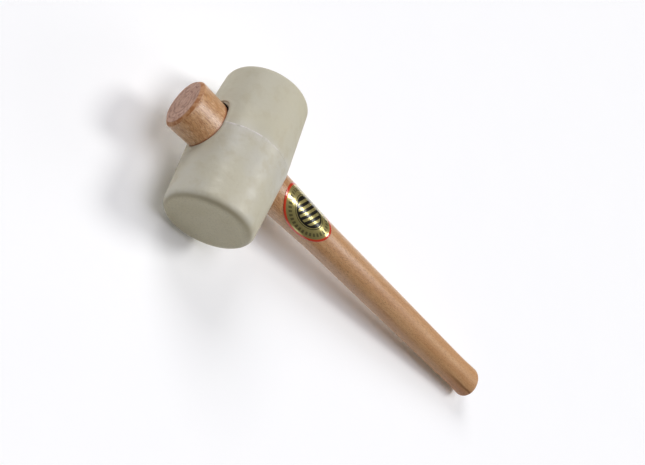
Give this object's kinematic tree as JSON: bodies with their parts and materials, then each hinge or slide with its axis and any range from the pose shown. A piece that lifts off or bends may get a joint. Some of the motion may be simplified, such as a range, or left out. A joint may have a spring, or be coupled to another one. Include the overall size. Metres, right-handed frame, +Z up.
{
  "type": "rubber mallet",
  "caption": "Light-coloured rubber mallet with a barrel-shaped head on an oval wooden handle that passes through it.",
  "frame": {"origin": "on the surface that the mallet lies on, under the middle of its overall length and width", "axes": "+Z up with the mallet lying on its side; +X from the head towards the grip; Y along the head, from one striking face to the other; the handle's own axis slopes down by 3.9 degrees towards +X, because the mallet rests on the head's widest circle and on the lower edge of the butt"},
  "size_m": [0.3619, 0.1058, 0.065],
  "materials": {
    "head_rubber": "moulded off-white rubber, satin, slightly yellowed, with a thin mould flash round the middle",
    "handle_beech": "turned and sanded beech with fine flecks, clear satin lacquer, end grain on the stub and the butt",
    "label_foil": "glossy gold foil sticker printed with an orange-red border and a dark disc with plain bars"
  },
  "bodies": {
    "root": {"rubber_head": "head_rubber", "handle": "handle_beech", "label": "label_foil"}
  },
  "joints": []
}
